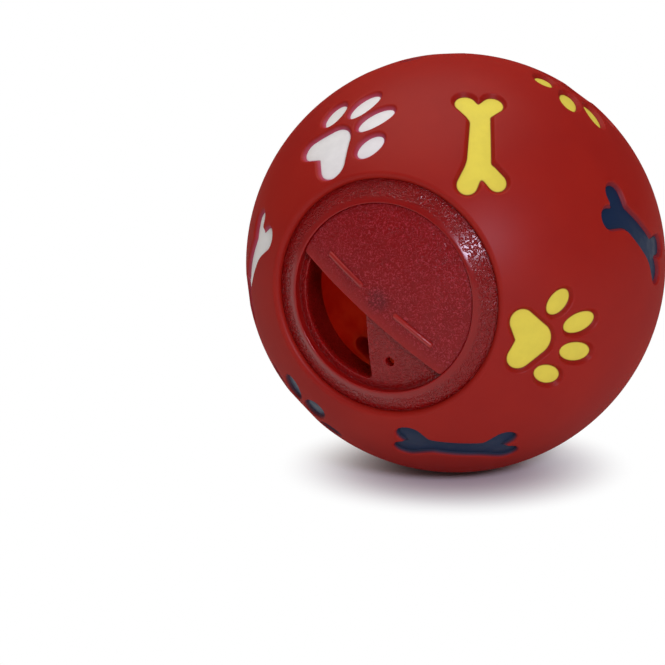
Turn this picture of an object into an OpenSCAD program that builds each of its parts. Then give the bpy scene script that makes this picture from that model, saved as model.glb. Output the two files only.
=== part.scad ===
// Treat ball: a soft hollow ball with painted sunk figures, and a snap-in closure
// whose dial turns to open or cover the window that the treats fall through.
// The origin is the centre of the ball. The mouth looks along -Y, and +Z is up.

/* [Ball] */
// Outside diameter of the ball
ball_d = 75; // [70:1:110]
// Thickness of the soft shell
shell_wall = 3; // [2.5:0.1:4]

/* [Mouth of the ball] */
// Radius of the rounded edge round the mouth
lip_roll = 0.9; // [0.6:0.1:1.2]
// Height of the thick ring that the closure snaps into
grip_h = 2.5; // [2:0.1:3.5]
// Gap all round between the closure and the ball
seat_gap = 0.2; // [0.1:0.05:0.4]

/* [Closure] */
// Radius of the flange
flange_r = 19.8; // [19.5:0.1:22]
// Depth of the flange edge below the round of the ball
flange_sink = 1; // [0.6:0.1:1.4]
// Height of the flange edge
flange_edge = 1.3; // [1:0.1:1.8]
// Radius of the shallow dome that the flange and the dial share
dome_r = 57; // [50:1:70]
// Radius of the well that holds the dial
well_r = 16.2; // [15.9:0.1:16.5]
// Outside radius of the neck in the grip ring
neck_r = 18; // [17.7:0.1:18.4]
// How far the snap bead stands out from the neck
bead_out = 1; // [0.6:0.1:1.2]
// Length of the slope behind the snap bead
bead_slope = 1.2; // [1:0.1:1.5]
// Inside radius of the skirt
skirt_r = 15.2; // [15:0.1:15.4]
// Thickness of the skirt
skirt_wall = 2.4; // [1.8:0.1:2.5]
// Depth of the skirt below the flange edge
skirt_reach = 7.1; // [6.9:0.1:9]

/* [Floor of the closure] */
// Thickness of the floor
floor_t = 2; // [1.5:0.1:2.2]
// Radius of the window's round side
window_r = 14.8; // [13.5:0.1:15]
// Distance of the window's straight side from the pivot
window_chord = 2.8; // [2.6:0.1:5]
// Clock angle of the window, from +X towards +Z
window_clock = 181; // [150:1:210]
// Radius of the small hole in the floor
spy_hole_r = 0.8; // [0.5:0.1:1.2]
// Distance of the small hole from the pivot
spy_hole_at = 11; // [9:0.1:13]
// Clock angle of the small hole
spy_hole_clock = 276; // [260:1:300]

/* [Dial] */
// Thickness of the dial
dial_t = 0.9; // [0.8:0.05:1.2]
// Depth of the dial's face below the dome of the flange
dial_drop = 0.05; // [0:0.05:0.3]
// Gap between the dial and the wall of the well
dial_gap = 0.3; // [0.2:0.05:0.4]
// Gap between the dial and the floor
dial_float = 0.25; // [0.05:0.05:0.3]
// Distance of the dial's straight edge from the pivot
dial_edge = 3.45; // [3:0.05:6]
// Size of the cut at the two ends of the straight edge
dial_corner = 0.6; // [0.4:0.1:2]
// Clock angle of the covered side, as the dial stands
dial_clock = 52; // [0:1:359]
// Width of the two finger ribs
rib_w = 1.4; // [1:0.1:1.6]
// Depth of a rib's middle line below the dial's face
rib_sink = 0.1; // [0:0.05:0.3]
// Distance from the pivot to the inner end of a rib
rib_from = 3.4; // [3:0.1:5]
// Distance from the pivot to the outer end of a rib
rib_to = 12; // [9:0.1:13]
// Radius of the sunk mark over the pivot
mark_r = 1.8; // [1:0.1:2.5]
// Depth of the sunk mark
mark_depth = 0.2; // [0.1:0.05:0.4]

/* [Pivot] */
// Radius of the pivot stud under the dial
pivot_r = 1.95; // [1.7:0.05:2.3]
// Radial clearance of the stud in the floor
pivot_clearance = 0.05; // [0.02:0.01:0.1]
// How far the snap head stands out from the stud
head_out = 0.65; // [0.4:0.05:0.9]
// Height of the snap head
head_h = 1.8; // [1.4:0.1:2.5]
// Gap between the snap head and the floor
head_gap = 0.2; // [0.1:0.05:0.3]
// Width of the split that lets the head spring in
split_w = 0.9; // [0.6:0.1:1.2]

/* [Painted figures] */
// Depth of the sunk figures
recess_depth = 0.95; // [0.8:0.05:1.5]
// Thickness of the paint on the floor of a figure
film_t = 0.2; // [0.15:0.05:0.4]
// Bare margin between the paint and the wall of a figure
film_margin = 0.15; // [0.1:0.05:0.3]

/* [Bone figure] */
// Length of a bone, tip to tip
bone_len = 19.9; // [17:0.1:21]
// Width of the shaft
bone_shaft = 3.6; // [2.8:0.1:4]
// Radius of the four knuckles
knuckle_r = 1.7; // [1.5:0.05:2.2]
// Distance of a knuckle's centre from the bone's axis
knuckle_off = 2.45; // [2.2:0.05:2.8]
// Length of the neck from the shaft to a knuckle's centre
knuckle_neck = 2.7; // [1.8:0.1:3.2]

/* [Paw figure] */
// Distance of the front of the pad from the paw's centre
pad_front = 1.3; // [1:0.05:1.8]
// Radius of the front of the pad
pad_front_r = 3; // [2.7:0.1:3.4]
// Radius of the two lobes at the back of the pad
pad_lobe_r = 2.2; // [1.8:0.1:2.4]
// Distance of a lobe's centre behind the paw's centre
pad_lobe_back = 4.1; // [3.8:0.1:5]
// Distance of a lobe's centre from the paw's axis
pad_lobe_off = 3.15; // [2.9:0.05:3.5]
// Distance of the notch between the lobes behind the paw's centre
pad_notch = 4.9; // [4.7:0.1:5.5]
// Length of the two inner toes
inner_toe_len = 6.3; // [5.5:0.1:7]
// Distance of an inner toe's centre ahead of the paw's centre
inner_toe_ahead = 6.6; // [6:0.1:7]
// Distance of an inner toe's centre from the paw's axis
inner_toe_off = 2.65; // [2.3:0.05:3]
// Splay of an inner toe
inner_toe_splay = 11; // [0:1:20]
// Length of the two outer toes
outer_toe_len = 5.1; // [4.6:0.1:6]
// Distance of an outer toe's centre ahead of the paw's centre
outer_toe_ahead = 1.9; // [1.5:0.1:2.5]
// Distance of an outer toe's centre from the paw's axis
outer_toe_off = 6.5; // [6:0.1:7]
// Splay of an outer toe
outer_toe_splay = 25; // [5:1:40]
// Width of a toe
toe_w = 3.3; // [2.8:0.1:3.6]

/* [Hidden] */
$fn = 160;
// Overshoot of a cut past the face it opens
over = 1;
// Inset that makes the edge of a web cross its circles cleanly
web_inset = 0.04;
ball_r = ball_d / 2;
floor_of_recess = ball_r - recess_depth;
// Depth of a figure's plug under its floor, from where it runs to past the skin
plug_root = 4;
plug_low = floor_of_recess - plug_root;
plug_h = ball_r + over - plug_low;

// Heights along the mouth's axis, from the ball's centre
edge_h = sqrt(pow(ball_r, 2) - pow(flange_r, 2)) - flange_sink;
seat_h = edge_h - flange_edge;
grip_low = seat_h - grip_h;
skirt_low = edge_h - skirt_reach;
bead_high = grip_low - seat_gap;

// The flange, the dial and the floor are domes about one point on the mouth's axis
dome_c = edge_h - sqrt(pow(dome_r, 2) - pow(flange_r, 2));
face_dome = dome_r - dial_drop;
back_dome = face_dome - dial_t;
floor_dome = back_dome - dial_float;
under_dome = floor_dome - floor_t;
blank_h = dome_c + dome_r + over;
head_high = dome_c + sqrt(pow(under_dome, 2) - pow(pivot_r + head_out, 2)) - head_gap;

// Radii about the mouth's axis
rebate_r = flange_r + seat_gap;
grip_r = neck_r + seat_gap;
bead_r = neck_r + bead_out;
skirt_out = skirt_r + skirt_wall;
dial_r = well_r - dial_gap;
head_r = pivot_r + head_out;
rib_r = rib_w / 2;

// The paw's four toes: distance ahead of the paw's centre, distance from its axis, splay, length
TOES = [
    [inner_toe_ahead, inner_toe_off, inner_toe_splay, inner_toe_len],
    [inner_toe_ahead, -inner_toe_off, -inner_toe_splay, inner_toe_len],
    [outer_toe_ahead, outer_toe_off, outer_toe_splay, outer_toe_len],
    [outer_toe_ahead, -outer_toe_off, -outer_toe_splay, outer_toe_len]
];
// Radius of a toe's far end, as a share of the near end's
toe_taper = 0.85;
// Radius of the tip of the notch in the pad
notch_r = 0.6;
// Distance of a knuckle's root from the bone's axis
root_off = 0.4;

// Each figure: name, kind, paint, polar angle from the mouth, clock angle, turn.
// The turn runs from the direction away from the mouth towards a greater clock angle.
FIGURES = [
    ["paw_white_front", "paw", "white", 48.4, 113.2, -52.4],
    ["bone_yellow_front", "bone", "yellow", 52.9, 62.7, 36],
    ["paw_yellow_front", "paw", "yellow", 47, 346, 7],
    ["bone_blue_front", "bone", "blue", 52.1, 289.5, 57],
    ["paw_blue_front", "paw", "blue", 59.8, 228.3, 180],
    ["bone_white_front", "bone", "white", 51.3, 176.3, 61],
    ["bone_blue_side", "bone", "blue", 83.4, 13.4, -42],
    ["paw_yellow_side", "paw", "yellow", 99.8, 57.5, 217],
    ["bone_white_side", "bone", "white", 112, 234, -50],
    ["paw_blue_side", "paw", "blue", 98.4, 103.4, 118],
    ["bone_yellow_side", "bone", "yellow", 108, 168, -50],
    ["paw_white_side", "paw", "white", 108, 300, 165],
    ["bone_yellow_back", "bone", "yellow", 146, 20, 60],
    ["paw_white_back", "paw", "white", 150, 140, -150],
    ["paw_blue_back", "paw", "blue", 148, 260, 30]
];

function paint(name) = name == "white" ? "#dedad2" : name == "yellow" ? "#ded050" : "#233255";

// Four corners of the web between two circles, along their outer tangents
function web_points(c1, r1, c2, r2) =
    let (
        along = c2 - c1,
        heading = atan2(along[1], along[0]),
        lean = acos((r1 - r2) / norm(along)),
        left = [cos(heading + lean), sin(heading + lean)],
        right = [cos(heading - lean), sin(heading - lean)]
    )
    [
        c1 + (r1 - web_inset) * left,
        c2 + (r2 - web_inset) * left,
        c2 + (r2 - web_inset) * right,
        c1 + (r1 - web_inset) * right
    ];

// A round peg and a straight-sided web, as high as a figure's plug
module peg(centre, radius) {
    translate(centre)
        cylinder(r = radius, h = plug_h);
}

module web(c1, r1, c2, r2) {
    linear_extrude(plug_h)
        polygon(web_points(c1, r1, c2, r2));
}

// A shape made about +Z is put on the mouth's axis
module at_mouth() {
    rotate([90, 0, 0])
        children();
}

// A shape made about +Z is put on the ball where the figure stands, with +X along the figure
module at_figure(f) {
    at_mouth()
        rotate([0, f[3], f[4]])
        rotate([0, 0, f[5]])
        children();
}

// A toe, pointing along +X
module toe_plug(length, inset) {
    near_r = toe_w / 2;
    far_r = near_r * toe_taper;
    near = [near_r - length / 2, 0];
    far = [length / 2 - far_r, 0];
    peg(near, near_r - inset);
    peg(far, far_r - inset);
    web(near, near_r - inset, far, far_r - inset);
}

// The heart-shaped pad of a paw
module pad_plug(inset) {
    front = [pad_front - pad_front_r, 0];
    notch = [notch_r - pad_notch, 0];
    peg(front, pad_front_r - inset);
    for (side = [-1, 1]) {
        lobe = [-pad_lobe_back, side * pad_lobe_off];
        peg(lobe, pad_lobe_r - inset);
        web(lobe, pad_lobe_r - inset, front, pad_front_r - inset);
        web(lobe, pad_lobe_r - inset, notch, notch_r - inset);
    }
}

module paw_plug(inset) {
    pad_plug(inset);
    for (toe = TOES)
        translate([toe[0], toe[1], 0])
        rotate(toe[2])
        toe_plug(toe[3], inset);
}

module bone_plug(inset) {
    shaft_r = bone_shaft / 2 - inset;
    knuckle_at = bone_len / 2 - knuckle_r;
    root_at = knuckle_at - knuckle_neck;
    shaft_half = root_at + 2 * root_off;
    translate([-shaft_half, -shaft_r, 0])
        cube([2 * shaft_half, 2 * shaft_r, plug_h]);
    for (end = [-1, 1], side = [-1, 1]) {
        root = [end * root_at, side * root_off];
        knuckle = [end * knuckle_at, side * knuckle_off];
        peg(knuckle, knuckle_r - inset);
        web(root, shaft_r, knuckle, knuckle_r - inset);
    }
}

// The figure as a plug through the skin of the ball
module figure_plug(f, inset) {
    at_figure(f)
        translate([0, 0, plug_low]) {
            if (f[1] == "paw")
                paw_plug(inset);
            else
                bone_plug(inset);
        }
}

// Half section of the skin of the ball, radius along X and height along Y
module skin_section() {
    roll = [rebate_r + lip_roll, sqrt(pow(ball_r - lip_roll, 2) - pow(rebate_r + lip_roll, 2))];
    outside = roll * (ball_r + over) / norm(roll);
    difference() {
        circle(ball_r);
        circle(ball_r - shell_wall);
        translate([-2 * ball_r, -2 * ball_r])
            square([2 * ball_r, 4 * ball_r]);
        translate([-over, 0])
            square([rebate_r + over, 2 * ball_r]);
        difference() {
            polygon([roll, [rebate_r - over, roll[1]], [rebate_r - over, outside[1] + over], outside]);
            translate(roll)
                circle(lip_roll);
        }
    }
}

// Half section of the thick ring that grips the closure, rooted in the middle of the skin
module grip_section() {
    middle_r = ball_r - shell_wall / 2;
    polygon([
        [grip_r, grip_low],
        [sqrt(pow(middle_r, 2) - pow(grip_low, 2)), grip_low],
        [sqrt(pow(middle_r, 2) - pow(seat_h, 2)), seat_h],
        [grip_r, seat_h]
    ]);
}

module ball_shell() {
    color("#8c201c")
        difference() {
            at_mouth() {
                rotate_extrude()
                    skin_section();
                rotate_extrude()
                    grip_section();
            }
            difference() {
                union()
                    for (f = FIGURES)
                        figure_plug(f, 0);
                sphere(floor_of_recess);
            }
        }
}

// A ball about the middle of the closure's domes
module dome(radius) {
    translate([0, 0, dome_c])
        sphere(radius);
}

// Half section of the outside of the closure, radius along X and height along Y
module collar_section() {
    polygon([
        [0, skirt_low],
        [skirt_out, skirt_low],
        [skirt_out, bead_high - bead_out - bead_slope],
        [bead_r, bead_high - bead_out],
        [bead_r, bead_high - bead_out / 2],
        [neck_r, bead_high],
        [neck_r, seat_h],
        [flange_r, seat_h],
        [flange_r, blank_h],
        [0, blank_h]
    ]);
}

// Outline of the window: the round side within the skirt, cut off by a straight side
module window_outline() {
    rotate(window_clock)
        intersection() {
            circle(window_r);
            translate([window_chord, -window_r])
                square(2 * window_r);
        }
}

// A round cut along the mouth's axis, from inside the ball to past the dome
module bore(radius) {
    translate([0, 0, skirt_low - over])
        cylinder(r = radius, h = blank_h - skirt_low + over);
}

module mouth_collar() {
    color("#7d1920")
        at_mouth()
        difference() {
            intersection() {
                rotate_extrude()
                    collar_section();
                dome(dome_r);
            }
            difference() {
                bore(well_r);
                dome(floor_dome);
            }
            intersection() {
                bore(skirt_r);
                dome(under_dome);
            }
            translate([0, 0, skirt_low])
                linear_extrude(blank_h - skirt_low)
                window_outline();
            bore(pivot_r + pivot_clearance);
            rotate(spy_hole_clock)
                translate([spy_hole_at, 0, 0])
                bore(spy_hole_r);
        }
}

// Half section of the dial's domed disc, radius along X and height along Y
module disc_section() {
    translate([0, dome_c])
        difference() {
            circle(face_dome);
            circle(back_dome);
            translate([-2 * dome_r, -dome_r])
                square([2 * dome_r, 2 * dome_r]);
            translate([-over, -dome_r])
                square([dome_r + 2 * over, dome_r]);
            translate([dial_r, -over])
                square(dome_r);
        }
}

// The domed disc with one straight edge and its two ends cut off. The covered side lies along +X.
module dial_plate() {
    end_x = dial_corner - dial_edge;
    end_y = sqrt(pow(dial_r, 2) - pow(end_x, 2));
    difference() {
        rotate_extrude()
            disc_section();
        translate([-dial_edge - 2 * dial_r, -2 * dial_r, 0])
            cube([2 * dial_r, 4 * dial_r, blank_h]);
        for (side = [-1, 1])
            linear_extrude(blank_h)
                polygon([
                    [end_x + over, side * (end_y + over)],
                    [-dial_edge - over, side * (end_y + over)],
                    [-dial_edge - over, side * (end_y - dial_corner - over)]
                ]);
    }
}

// A round bar with round ends, half sunk in the dial's face, from the pivot along +X
module finger_rib() {
    path_r = face_dome - rib_sink;
    near = asin((rib_from + rib_r) / path_r);
    far = asin((rib_to - rib_r) / path_r);
    half_len = path_r * sin((far - near) / 2);
    translate([0, 0, dome_c])
        rotate([0, (far + near) / 2, 0])
        translate([0, 0, path_r * cos((far - near) / 2)]) {
            for (end = [-1, 1])
                translate([end * half_len, 0, 0])
                sphere(rib_r);
            translate([-half_len, 0, 0])
                rotate([0, 90, 0])
                cylinder(r = rib_r, h = 2 * half_len);
        }
}

// Half section of the stud and its snap head
module stud_section() {
    head_low = head_high - head_h;
    root_h = dome_c + back_dome + dial_t / 2;
    polygon([
        [0, head_low],
        [pivot_r - head_out, head_low],
        [head_r, head_high - head_out],
        [head_r, head_high],
        [pivot_r, head_high],
        [pivot_r, root_h],
        [0, root_h]
    ]);
}

module dial() {
    mark_ball = (pow(mark_r, 2) + pow(mark_depth, 2)) / (2 * mark_depth);
    split_low = head_high - head_h - over;
    split_h = head_high + head_gap + floor_t / 2 - split_low;
    color("#84191f")
        at_mouth()
        rotate(dial_clock)
        difference() {
            union() {
                dial_plate();
                for (side = [-1, 1])
                    rotate(side * 90)
                    finger_rib();
                rotate_extrude()
                    stud_section();
            }
            translate([0, 0, dome_c + face_dome - mark_depth + mark_ball])
                sphere(mark_ball);
            translate([-split_w / 2, -head_r - over, split_low])
                cube([split_w, 2 * (head_r + over), split_h]);
        }
}

// The paint on the floor of one figure
module paint_film(f) {
    color(paint(f[2]))
        intersection() {
            figure_plug(f, film_margin);
            difference() {
                sphere(floor_of_recess + film_t);
                sphere(floor_of_recess);
            }
        }
}

ball_shell();
mouth_collar();
dial();
for (f = FIGURES)
    paint_film(f);
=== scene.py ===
import math

import bpy
import numpy as np
from mathutils import Matrix, Vector
from mathutils.geometry import delaunay_2d_cdt


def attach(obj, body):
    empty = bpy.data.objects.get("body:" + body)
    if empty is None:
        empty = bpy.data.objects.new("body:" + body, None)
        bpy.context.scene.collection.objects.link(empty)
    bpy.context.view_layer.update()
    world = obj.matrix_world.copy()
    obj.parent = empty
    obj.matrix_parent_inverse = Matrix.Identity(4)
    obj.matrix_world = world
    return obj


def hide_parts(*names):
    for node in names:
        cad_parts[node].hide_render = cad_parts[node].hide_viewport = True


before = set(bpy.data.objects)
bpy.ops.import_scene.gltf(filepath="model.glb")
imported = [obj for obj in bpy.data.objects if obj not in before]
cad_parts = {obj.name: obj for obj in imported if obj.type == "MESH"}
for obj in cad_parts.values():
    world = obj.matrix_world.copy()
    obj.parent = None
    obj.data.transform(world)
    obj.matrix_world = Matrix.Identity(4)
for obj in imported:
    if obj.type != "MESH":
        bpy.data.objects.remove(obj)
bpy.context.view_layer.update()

MM = 0.001

# Ball and its mouth
BALL_R = 37.48
WALL = 3.0
LIP_ROLL = 0.9
REBATE_R = 20.0
SEAT_H = 29.55
SEAT_CHAMFER = 0.15
GRIP_R = 18.2
GRIP_LOW = 27.05
GRIP_CHAMFER = 0.2
MOUTH_RING_R = 21.45

# Closure: the dial and the floor are domes about one point on the mouth's axis, which follows from
# the part's own ball and flange
DOME_R = 57.0
PART_BALL_R = 37.5
PART_FLANGE_R = 19.8
FLANGE_DROP = 1.0
FLANGE_H = math.sqrt(PART_BALL_R**2 - PART_FLANGE_R**2) - FLANGE_DROP
DOME_C = FLANGE_H - math.sqrt(DOME_R**2 - PART_FLANGE_R**2)
FACE_DOME = 56.95
BACK_DOME = 56.05
FLOOR_DOME = 55.8
UNDER_DOME = 53.8
FLANGE_R = 20.2
WELL_R = 16.2
# Fillet at the foot of the well: distance in from its wall, height above the floor
WELL_FILLET = ((0.25, 0.01), (0.07, 0.07), (0.0, 0.25))
RIM_ROUND = 0.2
RIM_H = 32.36
FLANGE_ROUND = 0.65
# Slope of the flange in degrees at some radii, from the rim outwards
FLANGE_SLOPE = ((16.4, 12.0), (16.75, 30.0), (17.3, 35.0), (19.85, 34.0))
NECK_R = 18.0
BEAD_R = 19.0
BEAD_GAP = 0.2
# Falls from the bead's top to its crest, the crest's end and the skirt
BEAD_FALLS = (0.5, 1.0, 2.2)
SKIRT_R = 15.2
SKIRT_OUT = 17.6
SKIRT_DROP = 7.1
SKIRT_LOW = FLANGE_H - SKIRT_DROP
SKIRT_CHAMFER = 0.3
# Rounding of the skirt's inner edge: distance out from its bore, height above its end
SKIRT_LIP = ((0.4, 0.0), (0.1, 0.12), (0.0, 0.4))

# Floor of the closure
FLOOR_RING_R = 15.5
UNDER_CHAMFER = 0.12
WINDOW_R = 14.8
WINDOW_CORNER = 1.0
WINDOW_CHORD = 2.8
WINDOW_CLOCK = 181.0
SPY_HOLE_R = 0.75
SPY_HOLE_AT = 11.0
SPY_HOLE_CLOCK = 276.0

# Dial
DIAL_R = 16.165
DIAL_EDGE = 3.45
DIAL_CORNER = 0.35
DIAL_CLOCK = 52.0
RIB_FROM = 3.5
RIB_TO = 11.9
RIB_R = 0.5
RIB_SINK = 0.06
# Shares of a rib's length, from its middle to where it rounds off, and of its round end
RIB_STRAIGHT = 0.445
RIB_END = 0.0555
MARK_R = 2.0
MARK_DEPTH = 0.1
MARK_RINGS = (0.6, 1.0, 1.4, 1.8, 2.2)
PIVOT_R = 1.95
PIVOT_HOLE_R = 2.0
HEAD_R = 2.6
HEAD_H = 1.8
HEAD_GAP = 0.2
HEAD_TAPER = 0.65
STUD_SINK = 0.3
SPLIT_W = 0.9
# Rounding of the small edges of the dial and the floor, and the distances inside it that get points
EDGE_R = 0.16
EDGE_STEPS = (0.0, 0.05, 0.14, 0.3)

# Sunk figures. A bone is a shaft with four legs, each leg from its root to its knuckle
RECESS = 0.78
BONE_SHAFT = ((-5.3, 0.35), 2.05, (4.5, -0.42), 1.68)
BONE_LEG_R = 1.55
BONE_FILLET = 0.45
PAD_FILLET = 0.12
BONE_LEGS = (
    ((4.8, -0.4), (8.45, 1.8), 1.8), ((5.4, 0.0), (8.35, -2.85), 1.8),
    ((-4.6, 0.7), (-8.25, 2.35), 1.75), ((-6.1, -1.2), (-7.75, -2.6), 1.62),
)
# A paw is the pad's front and two lobes, and toes: ahead, aside, splay in degrees, length, half width
PAW_PADS = {
    "paw": (((-1.7, 0.2), 3.05), ((-4.2, 3.4), 2.13), ((-3.85, -2.9), 2.2)),
    "wide_paw": (((-1.45, 0.4), 3.15), ((-4.5, 3.9), 1.95), ((-4.55, -3.15), 2.42)),
}
PAW_TOES = {
    "paw": ((6.6, 2.65, 11.7, 6.3, 1.7), (6.6, -2.65, -10.8, 6.4, 1.7),
            (2.05, 6.55, 45, 5.0, 1.63), (1.8, -6.45, -22, 5.25, 1.66)),
    "wide_paw": ((6.85, 2.7, 3.5, 6.2, 1.84), (6.2, -2.5, -14.5, 6.7, 1.64),
                 (2.5, 6.85, 25, 5.25, 1.95), (2.05, -6.7, -7.5, 5.25, 1.64)),
}
# Each figure: kind, polar angle from the mouth, clock angle, turn
FIGURES = {
    "paw_white_front": ("wide_paw", 48.5, 113.4, -52.6),
    "bone_yellow_front": ("bone", 52.6, 62.6, 37),
    "paw_yellow_front": ("paw", 47, 346, 7),
    "bone_blue_front": ("bone", 52.1, 289.5, 237),
    "paw_blue_front": ("paw", 59.8, 228.3, 180),
    "bone_white_front": ("bone", 51.3, 176.3, 61),
    "bone_blue_side": ("bone", 83.4, 13.4, 138),
    "paw_yellow_side": ("paw", 99.8, 57.5, 217),
    "bone_white_side": ("bone", 112, 234, -50),
    "paw_blue_side": ("paw", 98.4, 103.4, 118),
    "bone_yellow_side": ("bone", 108, 168, -50),
    "paw_white_side": ("wide_paw", 108, 300, 165),
    "bone_yellow_back": ("bone", 146, 20, 60),
    "paw_white_back": ("wide_paw", 150, 140, -150),
    "paw_blue_back": ("paw", 148, 260, 30),
}

# Section of a sunk figure's edge: distance outside the paint's edge, depth below the ball
LIP_SECTION = (
    (0.82, 0.0), (0.71, 0.012), (0.62, 0.05), (0.54, 0.115), (0.47, 0.21), (0.36, 0.4),
    (0.25, 0.58), (0.16, 0.7), (0.08, 0.755), (-0.03, 0.777), (-0.2, RECESS),
)
# Section of a coat of paint: distance outside its edge, height above the recess floor
COAT_SECTION = ((0.05, 0.0), (-0.01, 0.04), (-0.12, 0.05))
COAT_UNDER = 0.03

# Steps of the meshes
RING_STEPS = 240
STUD_STEPS = 24
SKIN_POINTS = 11500
LEAST_POINTS = 36
OUTLINE_STEP = 0.3
HOLE_STEP = 0.4
# Rows of a triangular grid, as a share of the spacing of its points
HEX_ROW = 0.866
# Points that fall on one step of a thousandth of a millimetre are welded
WELDS_PER_MM = 1000
TINY = 1e-9
# Distance given to points that are far from every edge
FAR_GAP = 9.0


def srgb(r, g, b):
    """Linear colour of a screen colour given as 0 to 255."""
    return tuple(
        c / 12.92 if c <= 0.04045 else ((c + 0.055) / 1.055) ** 2.4 for c in (r / 255, g / 255, b / 255)
    ) + (1.0,)


# Colours
VINYL_RED = srgb(153, 27, 16)
VINYL_DEEP = srgb(146, 23, 15)
# The inside is the same vinyl, coloured lighter and more orange: a painted glow of light through the
# wall, on top of the subsurface light that carries some
VINYL_INSIDE_GLOW = srgb(208, 82, 60)
# Each paint: its colour, and its rim's darker colour, painted shade where the paint meets the foot of
# the wall
PAINT = {
    "white": (srgb(236, 235, 230), srgb(224, 206, 206)),
    "yellow": (srgb(229, 213, 78), srgb(150, 112, 40)),
    "blue": (srgb(18, 38, 66), srgb(9, 18, 36)),
}
# The ribs' colours, brighter than the dial they are part of, paint a glow of light through the thin
# ribs
RIB_GLOW_RED = srgb(156, 30, 24)
RIB_GLOW_DEEP = srgb(142, 24, 22)
COLLAR_BAND = srgb(136, 13, 10)
DIAL_STRIP = srgb(142, 25, 22)
DIAL_PIVOT_DARK = srgb(84, 18, 24)
# Where a colour or the grain fades in or out, in metres, and how strong the colour gets
FLANGE_GRAIN = (0.0170, 0.0177)
FLOOR_GRAIN = (0.0160, 0.0162)
STRIP_FADE, STRIP_SHARE = (-0.0032, -0.0006), 0.75
PIVOT_DARK_FADE, PIVOT_DARK_SHARE = (0.0006, 0.003), 0.6
# The paint's darker clouded tone, and its rim, painted shade where the paint meets the foot of the
# wall, in millimetres from the edge
PAINT_SHADE = 0.93
CREASE_SHADE_FADE, CREASE_SHADE_SHARE = (-0.16, 0.05), 0.8
# Noise levels: between a cloud's two colours, half across a worm of the grain, and where worms break
CLOUD_FADE = (0.3, 0.7)
WORM_WIDTH = 0.08
WORM_BREAK = (0.36, 0.54)


# Outlines as distances, negative inside
def round_cone(x, y, a, ra, b, rb):
    """Distance to the shape swept between two circles."""
    bx, by = b[0] - a[0], b[1] - a[1]
    l2 = bx * bx + by * by
    rr = ra - rb
    a2 = l2 - rr * rr
    px, py = x - a[0], y - a[1]
    s = px * bx + py * by
    z = s - l2
    x2 = (px * l2 - bx * s) ** 2 + (py * l2 - by * s) ** 2
    y2, z2 = s * s * l2, z * z * l2
    k = np.sign(rr) * rr * rr * x2
    side = (np.sqrt(x2 * a2 / l2) + s * rr) / l2 - ra
    far = np.sqrt(x2 + z2) / l2 - rb
    near = np.sqrt(x2 + y2) / l2 - ra
    return np.where(np.sign(z) * a2 * z2 > k, far, np.where(np.sign(s) * a2 * y2 < k, near, side))


def blend_union(p, q, k):
    """Union of two distances with a fillet of about k."""
    h = np.clip(0.5 + 0.5 * (q - p) / k, 0.0, 1.0)
    return q + (p - q) * h - k * h * (1.0 - h)


def round_meet(p, q, r):
    """Where two distances overlap, with a corner of radius r."""
    outer = np.hypot(np.maximum(p + r, 0.0), np.maximum(q + r, 0.0))
    return outer + np.minimum(np.maximum(p, q) + r, 0.0) - r


def bone_field(x, y):
    """Distance field of a bone that lies along X."""
    gap = round_cone(x, y, *BONE_SHAFT)
    for root, knuckle, radius in BONE_LEGS:
        gap = blend_union(gap, round_cone(x, y, root, BONE_LEG_R, knuckle, radius), BONE_FILLET)
    return gap


def toe_field(x, y, ahead, aside, splay, length, half_w):
    """Distance field of one oval toe."""
    c, s = math.cos(math.radians(splay)), math.sin(math.radians(splay))
    along, across = (x - ahead) * c + (y - aside) * s, (y - aside) * c - (x - ahead) * s
    half = length / 2
    k = np.hypot(along / half, across / half_w) + TINY
    return k * (k - 1.0) / (np.hypot(along / half**2, across / half_w**2) + TINY)


def paw_field(kind):
    """Distance field of a paw that points along X."""
    front, left, right = PAW_PADS[kind]

    def field(x, y):
        lobes = (round_cone(x, y, *lobe, *front) for lobe in (left, right))
        gap = blend_union(*lobes, PAD_FILLET)
        for toe in PAW_TOES[kind]:
            gap = np.minimum(gap, toe_field(x, y, *toe))
        return gap

    return field


def window_field(x, y):
    """Distance field of the window: a disc cut off by a straight side, with round corners."""
    a = math.radians(WINDOW_CLOCK)
    straight = WINDOW_CHORD - x * math.cos(a) - y * math.sin(a)
    return round_meet(np.hypot(x, y) - WINDOW_R, straight, WINDOW_CORNER)


def holes_field(x, y):
    """Distance field of all the holes in the closure's floor."""
    a = math.radians(SPY_HOLE_CLOCK)
    spy = np.hypot(x - SPY_HOLE_AT * math.cos(a), y - SPY_HOLE_AT * math.sin(a)) - SPY_HOLE_R
    return np.minimum(np.minimum(window_field(x, y), spy), np.hypot(x, y) - PIVOT_HOLE_R)


def dial_field(x, y):
    """Distance field of the dial's outline, with the covered side along X."""
    return round_meet(np.hypot(x, y) - DIAL_R, -DIAL_EDGE - x, DIAL_CORNER)


# Tracing and meshing. The sides of a grid cell that an outline joins, by which corners lie inside
CELL_CUTS = {
    1: ((0, 3),), 2: ((1, 0),), 3: ((1, 3),), 4: ((2, 1),), 5: ((0, 3), (2, 1)), 6: ((2, 0),),
    7: ((2, 3),), 8: ((3, 2),), 9: ((0, 2),), 10: ((1, 0), (3, 2)), 11: ((1, 2),), 12: ((3, 1),),
    13: ((0, 1),), 14: ((3, 0),),
}


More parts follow.
